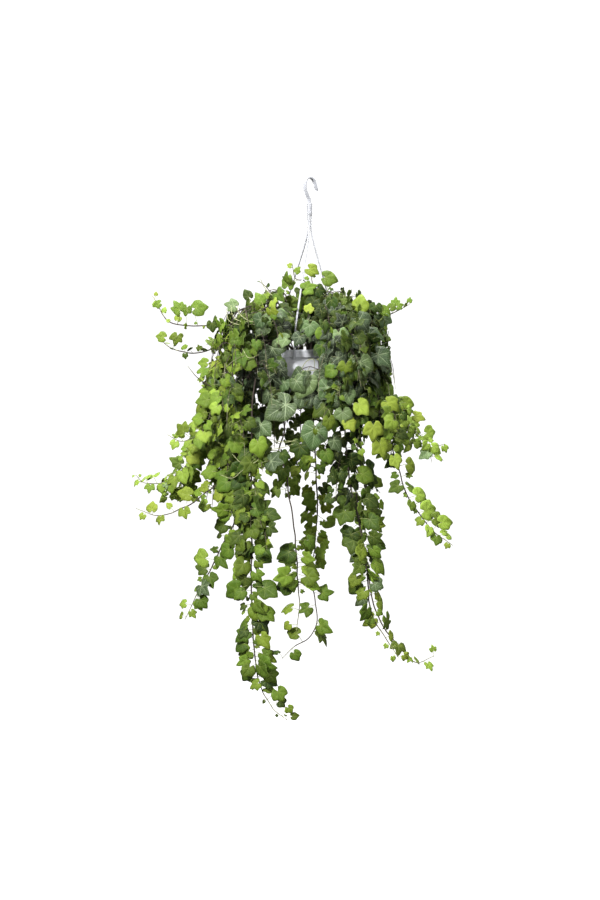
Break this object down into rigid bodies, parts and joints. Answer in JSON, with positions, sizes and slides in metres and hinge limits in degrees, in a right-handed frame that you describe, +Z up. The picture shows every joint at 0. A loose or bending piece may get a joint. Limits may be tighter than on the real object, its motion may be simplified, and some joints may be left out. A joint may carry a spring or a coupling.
{
  "type": "hanging potted ivy",
  "caption": "Trailing English ivy in a tapered nursery pot that hangs by a hook and clip-on legs, with vines arching over the rim and long shoots falling below it.",
  "frame": {"origin": "the inside crown of the hook, where it rests on whatever holds it up", "axes": "+Z up along the hanger, +X to the right and -Y to the front, which is the side seen with the pot's open face"},
  "size_m": [0.7214, 0.3737, 1.222],
  "materials": {
    "pot_plastic": "satin bluish-white moulded polypropylene",
    "hanger_plastic": "smooth white moulded polypropylene",
    "potting_soil": null,
    "ivy_young": null,
    "ivy_old": null,
    "ivy_stem": "thin brown-grey woody stem, green towards its tip"
  },
  "bodies": {
    "root": {"hanger_hook": "hanger_plastic", "hanger_leg_front": "hanger_plastic", "hanger_leg_left": "hanger_plastic", "hanger_leg_right": "hanger_plastic", "pot": "pot_plastic", "shoot_top_front": "ivy_young", "shoot_top_left": "ivy_young", "shoot_top_right": "ivy_young", "soil": "potting_soil", "vine_back_centre": "ivy_young", "vine_back_left_trailing": "ivy_young", "vine_crown_01": "ivy_young", "vine_crown_02": "ivy_young", "vine_crown_03": "ivy_young", "vine_crown_04": "ivy_young", "vine_crown_05": "ivy_young", "vine_crown_06": "ivy_young", "vine_curtain_01": "ivy_young", "vine_curtain_02": "ivy_young", "vine_curtain_03": "ivy_young", "vine_curtain_04": "ivy_young", "vine_curtain_05": "ivy_young", "vine_curtain_06": "ivy_young", "vine_curtain_07": "ivy_young", "vine_curtain_08": "ivy_young", "vine_curtain_09": "ivy_young", "vine_curtain_10": "ivy_young", "vine_curtain_11": "ivy_young", "vine_curtain_12": "ivy_young", "vine_curtain_13": "ivy_young", "vine_curtain_14": "ivy_young", "vine_curtain_15": "ivy_young", "vine_curtain_16": "ivy_young", "vine_front_centre": "ivy_young", "vine_front_left_longest": "ivy_young", "vine_inner_01": "ivy_old", "vine_inner_02": "ivy_old", "vine_inner_03": "ivy_old", "vine_inner_04": "ivy_old", "vine_inner_05": "ivy_old", "vine_inner_06": "ivy_old", "vine_inner_07": "ivy_old", "vine_inner_08": "ivy_old", "vine_inner_09": "ivy_old", "vine_inner_10": "ivy_old", "vine_left_back_low": "ivy_young", "vine_left_low": "ivy_young", "vine_left_middle": "ivy_young", "vine_left_upper": "ivy_young", "vine_left_upper_back": "ivy_young", "vine_right_back_trailing": "ivy_young", "vine_right_front_trailing": "ivy_young", "vine_right_low": "ivy_young", "vine_right_middle": "ivy_young", "vine_right_upper": "ivy_young"}
  },
  "joints": []
}
